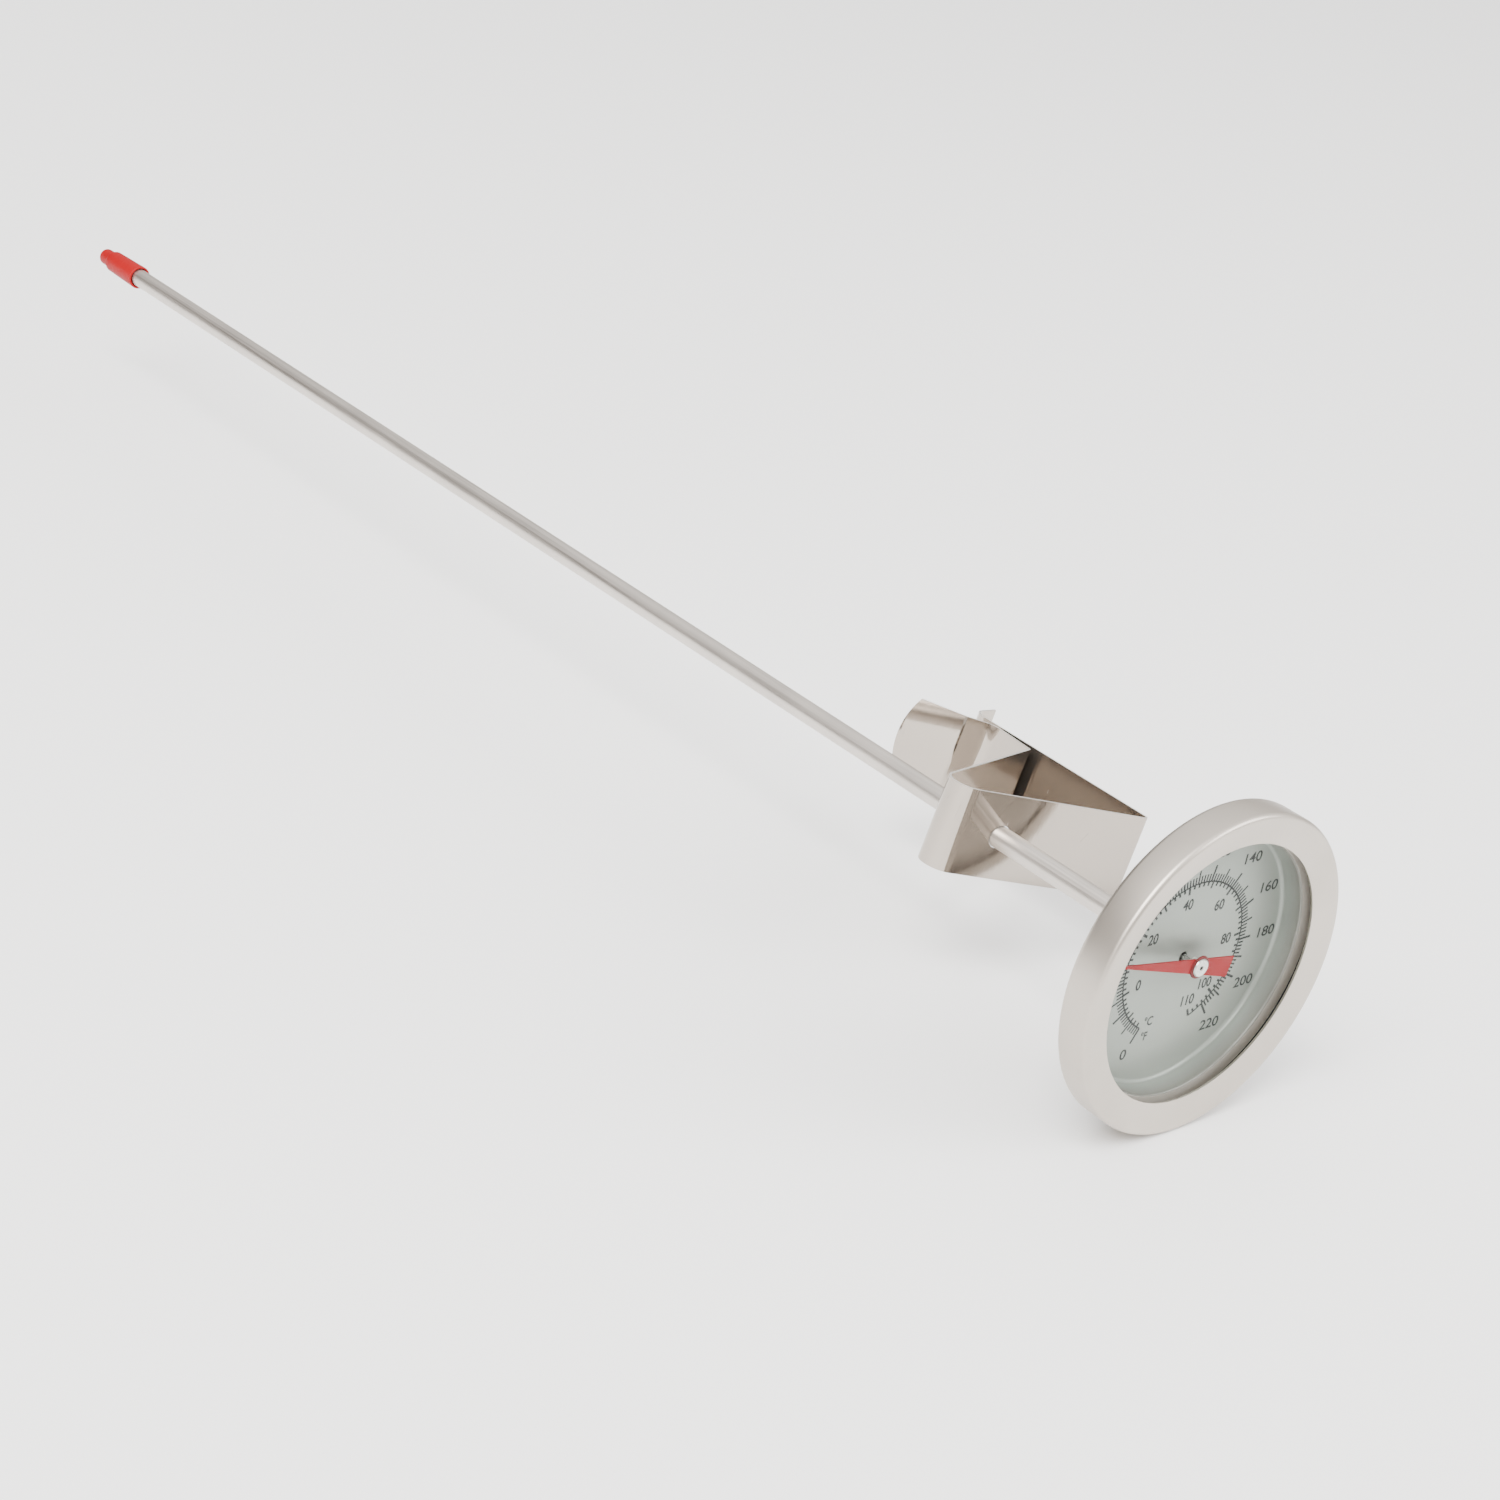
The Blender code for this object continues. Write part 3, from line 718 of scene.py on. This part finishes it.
def pointer_blade():
    """A tapered plate round a hole. Each point of its edge has one on the hole, in the same direction."""
    work = bmesh.new()
    corners = [
        (-BLADE_TIP_HALF, BLADE_TIP),
        (BLADE_TIP_HALF, BLADE_TIP),
        (BLADE_TAIL_HALF, BLADE_TAIL),
        (-BLADE_TAIL_HALF, BLADE_TAIL),
    ]
    outline = []
    for index, (x, z) in enumerate(corners):
        follow = corners[(index + 1) % 4]
        for step in range(BLADE_STEPS):
            outline.append((x + (follow[0] - x) * step / BLADE_STEPS, z + (follow[1] - z) * step / BLADE_STEPS))
    hole = []
    for x, z in outline:
        angle = math.atan2(x, z)
        hole.append((BLADE_HOLE * math.sin(angle), BLADE_HOLE * math.cos(angle)))
    turn = Matrix.Rotation(math.radians(POINTER_ANGLE), 3, "Y")
    layers = []
    for y in (POINTER_Y, POINTER_Y + BLADE_THICK):
        for ring in (outline, hole):
            layers.append([work.verts.new(turn @ Vector((x * MM, y * MM, z * MM))) for x, z in ring])
    front, front_hole, rear, rear_hole = layers
    count = len(outline)
    for index in range(count):
        follow = (index + 1) % count
        work.faces.new((front[index], front[follow], front_hole[follow], front_hole[index]))
        work.faces.new((rear[index], rear_hole[index], rear_hole[follow], rear[follow]))
        work.faces.new((front[index], rear[index], rear[follow], front[follow]))
        work.faces.new((front_hole[index], front_hole[follow], rear_hole[follow], rear_hole[index]))
    return finish_mesh("pointer_blade", work, RED)


mount(pointer_blade(), TRAIN, "pointer_red", "pointer")
mount(lathe("pointer_boss", rounded([
    (BOSS_BORE, BOSS_FRONT, 0),
    (BOSS_RADIUS, BOSS_FRONT, 0.08),
    (BOSS_RADIUS, POINTER_Y, 0),
    (BOSS_BORE, POINTER_Y, 0),
], 3), SHADED_BOSS, SMALL_SIDES), TRAIN, "pointer_red")
mount(lathe("pointer_hub", rounded([
    (HUB_PINHOLE, HUB_PINHOLE_FRONT, 0.05),
    (HUB_PINHOLE_RIM, HUB_FRONT, 0),
    (HUB_FACE, HUB_FRONT, 0.1),
    (HUB_FLANGE, HUB_FLANGE_REAR, 0),
    (HUB_TUBE, HUB_FLANGE_REAR, 0),
    (HUB_TUBE, HUB_REAR, 0.05),
    (HUB_BORE, HUB_REAR, 0),
    (HUB_BORE, HUB_BORE_FRONT, 0),
    (HUB_PINHOLE, HUB_PINHOLE_REAR, 0),
], 4), HUB, SMALL_SIDES), TRAIN, "hub_metal", "pointer_bush")


# ---------------------------------------------------------------- clip

CLIP_TURN = 12.7
CLIP_SHEET = 0.35
CLIP_HALF_WIDTH = 6.8
CLIP_BEND_STEPS = 16
CLIP_END_RADIUS = 13.7
CLIP_END_STEPS = 24
# a little over the steps, so that the strip doesn't end in a point
CLIP_END_SPAN = 24.6
CLIP_EDGE = 0.05
CLIP_SHARP_ANGLE = math.radians(30)
EDGE_ANGLE = math.radians(50)
HOLE_RADIUS = 1.9
HOLE_SLACK = 0.06
HOLE_FACE_LIMIT_M2 = 1e-6
CUTTER_LENGTH = 30
CUTTER_Y = 48
CUT_NORMAL = 0.6

# (y, distance from the stem's axis, bend radius), from the outer plate's lip round the nose to the end of the
# folded tab
CLIP_LINE = [
    (76.9, 31.6, 0),
    (75.6, 25.15, 3.0),
    (36.3, 25.15, 0.7),
    (46.7, -16.0, 3.1),
    (61.1, 23.4, 0.5),
    (70.2, 24.4, 3.0),
    (73.1, 20.6, 1.2),
    (79.4, 16.1, 0),
]


def clip_stations():
    """Places along the strip with its half width there: even up to the tab, whose end is an arc."""
    line = rounded(CLIP_LINE, CLIP_BEND_STEPS)
    stations = [(point, CLIP_HALF_WIDTH) for point in line]
    run = (line[-1] - line[-2]).normalized()
    sweep = math.asin(CLIP_HALF_WIDTH / CLIP_END_RADIUS)
    for step in range(1, CLIP_END_STEPS + 1):
        angle = sweep * (1 - step / CLIP_END_SPAN)
        reach = CLIP_END_RADIUS * (math.cos(angle) - math.cos(sweep))
        stations.append((line[-1] + run * reach, CLIP_END_RADIUS * math.sin(angle)))
    return stations


def clip_sheet():
    """The strip's middle surface, as an object that the sheet's modifiers are put on."""
    work = bmesh.new()
    previous = None
    for (along, out), width in clip_stations():
        near = work.verts.new((out * MM, along * MM, width * MM))
        far = work.verts.new((out * MM, along * MM, -width * MM))
        if previous:
            work.faces.new((previous[0], near, far, previous[1]))
        previous = (near, far)
    mesh = bpy.data.meshes.new("clip_base")
    work.to_mesh(mesh)
    work.free()
    base = bpy.data.objects.new("clip_base", mesh)
    bpy.context.scene.collection.objects.link(base)
    return base


def paint_clip(shaped):
    """Gives the cut edges a light colour, partly a painted highlight, and the holes' walls a dark one, partly
    painted shade.
    """
    shaped.materials.clear()
    for look in (CLIP, CUT_EDGE_GLINT, SHADED_PUNCH):
        shaped.materials.append(look)
    for face in shaped.polygons:
        face.use_smooth = True
        face.material_index = 1 if abs(face.normal.z) > CUT_NORMAL else 0
        from_axis = Vector((face.center.x, face.center.z)).length / MM
        at_hole = HOLE_RADIUS - HOLE_SLACK < from_axis < HOLE_RADIUS + HOLE_SLACK
        if at_hole and face.area < HOLE_FACE_LIMIT_M2:
            face.material_index = 2
    shaped.set_sharp_from_angle(angle=CLIP_SHARP_ANGLE)


def clip_strip():
    base = clip_sheet()
    solid = base.modifiers.new("strip", "SOLIDIFY")
    solid.thickness = CLIP_SHEET * MM
    solid.offset = 0
    solid.use_even_offset = True
    # no texture coordinates: the boolean would leave them on the clip, rounded differently in each run
    bpy.ops.mesh.primitive_cylinder_add(
        vertices=STEM_SIDES, radius=HOLE_RADIUS * MM, depth=CUTTER_LENGTH * MM, location=(0, CUTTER_Y * MM, 0),
        calc_uvs=False)
    cutter = bpy.context.object
    cutter.rotation_euler = (math.pi / 2, 0, 0)
    holes = base.modifiers.new("holes", "BOOLEAN")
    holes.operation = "DIFFERENCE"
    holes.solver = "EXACT"
    holes.object = cutter
    edge = base.modifiers.new("edge", "BEVEL")
    edge.width = CLIP_EDGE * MM
    edge.segments = 2
    edge.limit_method = "ANGLE"
    edge.angle_limit = EDGE_ANGLE
    even = base.modifiers.new("even", "WEIGHTED_NORMAL")
    even.keep_sharp = True
    bpy.context.view_layer.update()
    shaped = bpy.data.meshes.new_from_object(base.evaluated_get(bpy.context.evaluated_depsgraph_get()))
    bpy.data.objects.remove(base, do_unlink=True)
    bpy.data.objects.remove(cutter, do_unlink=True)
    shaped.name = "clip_strip"
    paint_clip(shaped)
    made = add_object("clip_strip", shaped)
    flat = made.modifiers.new("even", "WEIGHTED_NORMAL")
    flat.keep_sharp = True
    made.rotation_euler = (0, math.radians(CLIP_TURN), 0)
    return made


mount(clip_strip(), "clip", "spring_steel", "pan_clip")


# ---------------------------------------------------------------- cap

CAP_BORE = 1.93
CAP_MOUTH_RADIUS = 2.35
CAP_SHOULDER_RADIUS = 2.16
CAP_NIB_RADIUS = 1.65
CAP_MOUTH = STEM_TIP - 9.8
CAP_FLOOR = STEM_TIP + 0.3
CAP_SHOULDER = STEM_TIP + 0.6
CAP_NIB = STEM_TIP + 1.5
CAP_END = STEM_TIP + 4.7

mount(lathe("cap_sleeve", rounded([
    (CAP_BORE, CAP_MOUTH, 0.1),
    (CAP_MOUTH_RADIUS, CAP_MOUTH, 0.16),
    (CAP_SHOULDER_RADIUS, CAP_SHOULDER, 0.4),
    (CAP_NIB_RADIUS, CAP_NIB, 0.5),
    (CAP_NIB_RADIUS, CAP_END, 0.9),
    (0, CAP_END, 0),
    (0, CAP_FLOOR, 0),
    (CAP_BORE, CAP_FLOOR, 0),
]), SILICONE, STEM_SIDES), "cap", "cap_red", "tip_cap")


# ---------------------------------------------------------------- inner pieces keep their CAD shape

INNER_LOOKS = {
    "bimetal_helix": BIMETAL,
    "helix_anchor": BRASS,
    "helix_collar": BRASS,
    "upper_bearing": BRASS,
    "middle_guide": BRASS,
    "lower_guide": BRASS,
    "spindle": SPINDLE,
}

for node, look in INNER_LOOKS.items():
    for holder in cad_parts[node].material_slots:
        holder.material = look


# ---------------------------------------------------------------- floor, light and camera

PAPER = (0.93, 0.93, 0.93)
PAPER_ROUGHNESS = 0.9
PAPER_HALF_SIZE_M = 6
PAPER_GAP = 0.05

SKY_LOW = (0.17, 0.15, 0.135)
SKY_MIDDLE = (0.62, 0.60, 0.57)
SKY_MIDDLE_AT = 0.3
SKY_HIGH = (1, 0.995, 0.985)
SKY_HIGH_AT = 0.7
SKY_STRENGTH = 2.1
DARK_SIDE = (-0.30, 0.92, -0.25)
DARK_COLOUR = (0.030, 0.024, 0.020)
DARK_SHARE = 0.94
DARK_START = 0.15
DARK_END = 0.75

CAMERA_AT = Vector((-304.402, -215.583, 193.154)) * MM + BASE
RIGHT = Vector((0.75968, -0.62935, 0.16360))
UP = Vector((0.16109, 0.42589, 0.89030))
BACK = Vector((-0.62998, -0.65002, 0.42493))
CAMERA_LENS = 71.16
CAMERA_SENSOR = 36


def floor():
    paper = principled("studio_paper", PAPER, PAPER_ROUGHNESS)[0]
    mesh = bpy.data.meshes.new("floor")
    half = PAPER_HALF_SIZE_M
    corners = [(-half, -half, 0), (half, -half, 0), (half, half, 0), (-half, half, 0)]
    mesh.from_pydata(corners, [], [(0, 1, 2, 3)])
    mesh.materials.append(paper)
    plane = bpy.data.objects.new("floor", mesh)
    bpy.context.scene.collection.objects.link(plane)
    plane.location = Vector((0, 0, -HEAD_RADIUS - PAPER_GAP)) * MM


def softbox(name, where, aim, size, power, colour=(1, 1, 1)):
    lamp = bpy.data.lights.new(name, "AREA")
    lamp.shape = "RECTANGLE"
    lamp.size = size[0]
    lamp.size_y = size[1]
    lamp.energy = power
    lamp.color = colour
    made = bpy.data.objects.new(name, lamp)
    bpy.context.scene.collection.objects.link(made)
    made.location = where
    made.rotation_euler = (Vector(aim) - Vector(where)).to_track_quat("-Z", "Y").to_euler()


def studio_world():
    """A sky that brightens upwards and is dark towards DARK_SIDE, past the stem's tip."""
    world = bpy.data.worlds.new("studio")
    bpy.context.scene.world = world
    world.use_nodes = True
    sky = world.node_tree
    direction = sky.nodes.new("ShaderNodeTexCoord")
    split = sky.nodes.new("ShaderNodeSeparateXYZ")
    sky.links.new(direction.outputs["Generated"], split.inputs[0])
    shade = sky.nodes.new("ShaderNodeValToRGB")
    shade.color_ramp.elements[0].position = 0.0
    shade.color_ramp.elements[0].color = (*SKY_LOW, 1)
    shade.color_ramp.elements[1].position = SKY_HIGH_AT
    shade.color_ramp.elements[1].color = (*SKY_HIGH, 1)
    middle = shade.color_ramp.elements.new(SKY_MIDDLE_AT)
    middle.color = (*SKY_MIDDLE, 1)
    sky.links.new(split.outputs["Z"], shade.inputs[0])
    behind = sky.nodes.new("ShaderNodeVectorMath")
    behind.operation = "DOT_PRODUCT"
    behind.inputs[1].default_value = DARK_SIDE
    sky.links.new(direction.outputs["Generated"], behind.inputs[0])
    dim = sky.nodes.new("ShaderNodeMix")
    dim.data_type = "RGBA"
    dim.inputs[MIX_B].default_value = (*DARK_COLOUR, 1)
    share = ramp(sky, behind.outputs["Value"], 0, DARK_SHARE, DARK_START, DARK_END)
    sky.links.new(share, dim.inputs[MIX_FACTOR])
    sky.links.new(shade.outputs[0], dim.inputs[MIX_A])
    sky.links.new(dim.outputs[MIX_COLOUR], sky.nodes["Background"].inputs["Color"])
    sky.nodes["Background"].inputs["Strength"].default_value = SKY_STRENGTH


def photo_camera():
    """A camera at the photograph's angle, which is given by its own right, up and back directions."""
    data = bpy.data.cameras.new("photo_camera")
    data.lens = CAMERA_LENS
    data.sensor_width = CAMERA_SENSOR
    data.clip_start = 0.01
    data.clip_end = 60
    camera = bpy.data.objects.new("photo_camera", data)
    bpy.context.scene.collection.objects.link(camera)
    camera.matrix_world = Matrix((
        (RIGHT.x, UP.x, BACK.x, CAMERA_AT.x),
        (RIGHT.y, UP.y, BACK.y, CAMERA_AT.y),
        (RIGHT.z, UP.z, BACK.z, CAMERA_AT.z),
        (0, 0, 0, 1)))
    bpy.context.scene.camera = camera


floor()
studio_world()
softbox("key", where=(-0.9, -0.4, 1.2), aim=(0, -0.05, 0), size=(0.9, 0.9), power=46, colour=(1, 0.985, 0.965))
softbox("fill", where=(0.8, -1.0, 0.7), aim=(0, -0.1, 0), size=(0.8, 0.8), power=15)
photo_camera()
